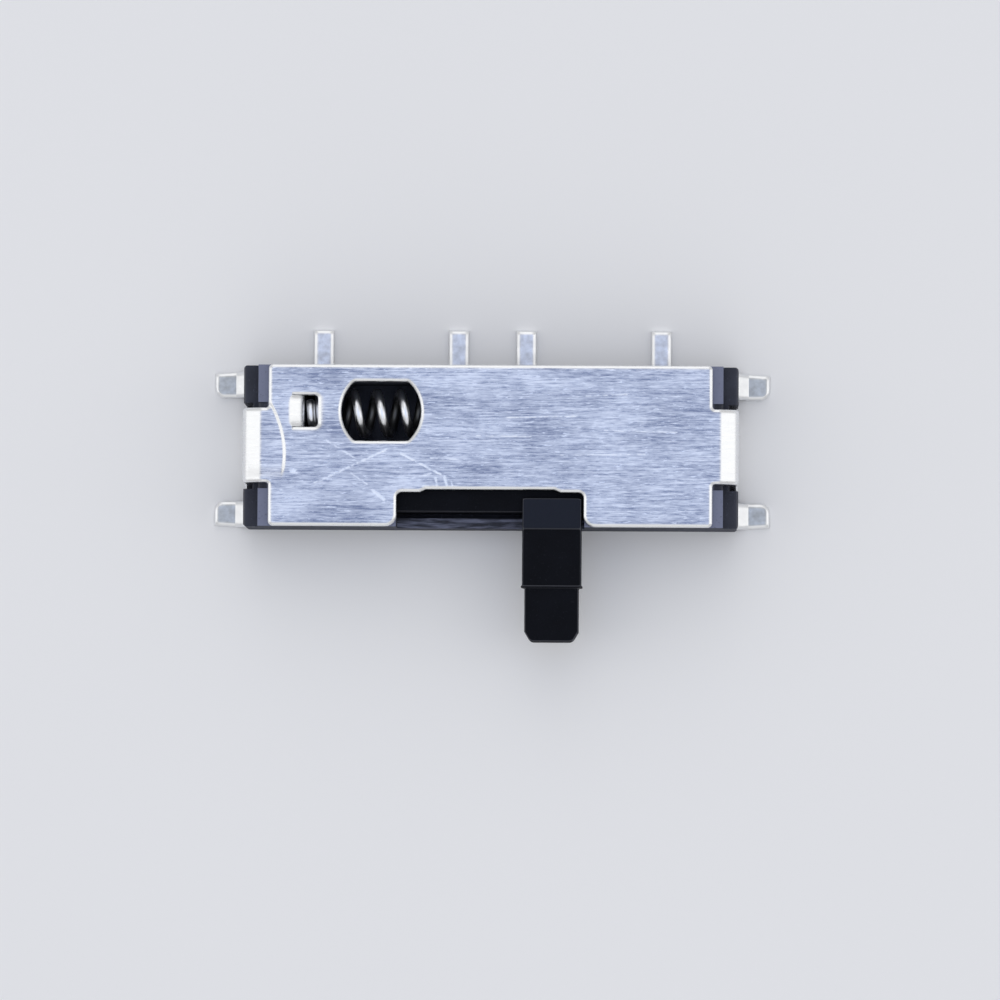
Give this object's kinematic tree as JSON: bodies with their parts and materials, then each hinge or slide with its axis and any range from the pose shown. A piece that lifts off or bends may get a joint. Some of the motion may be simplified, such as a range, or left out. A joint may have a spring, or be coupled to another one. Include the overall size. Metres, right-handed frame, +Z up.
{
  "type": "slide switch",
  "caption": "Low surface-mount slide switch: black moulded tray under a clinched sheet-metal cover, with a side knob that a coil spring slides back to its stop.",
  "frame": {"origin": "middle of the housing in plan, on the plane of the board that it is soldered to", "axes": "+X along the slide towards the rest position of the knob, +Y towards the terminals, +Z up from the board"},
  "size_m": [0.0124, 0.007, 0.002],
  "materials": {
    "housing_plastic": "moulded, matt, glass filled",
    "slider_plastic": "moulded, satin",
    "cover_sheet": "plated sheet with rolling lines and light scratches",
    "spring_wire": "drawn bright wire",
    "wiper_bronze": "rolled strip",
    "tinned_lead": "tin plated"
  },
  "bodies": {
    "switch_base": {"housing": "housing_plastic", "cover": "cover_sheet", "return_spring": "spring_wire", "common_terminal": "tinned_lead", "left_terminal": "tinned_lead", "middle_terminal": "tinned_lead", "right_terminal": "tinned_lead", "left_rear_foot": "tinned_lead", "left_front_foot": "tinned_lead", "right_rear_foot": "tinned_lead", "right_front_foot": "tinned_lead"},
    "slider_unit": {"slider": "slider_plastic", "wiper": "wiper_bronze"}
  },
  "joints": [
    {"name": "knob_slide", "type": "slide", "parent": "switch_base", "child": "slider_unit", "axis": [-1, 0, 0], "range_m": [0, 0.0025], "stiffness_N_per_m": 400, "springref_m": -0.00125, "deforming": ["return_spring"]}
  ]
}
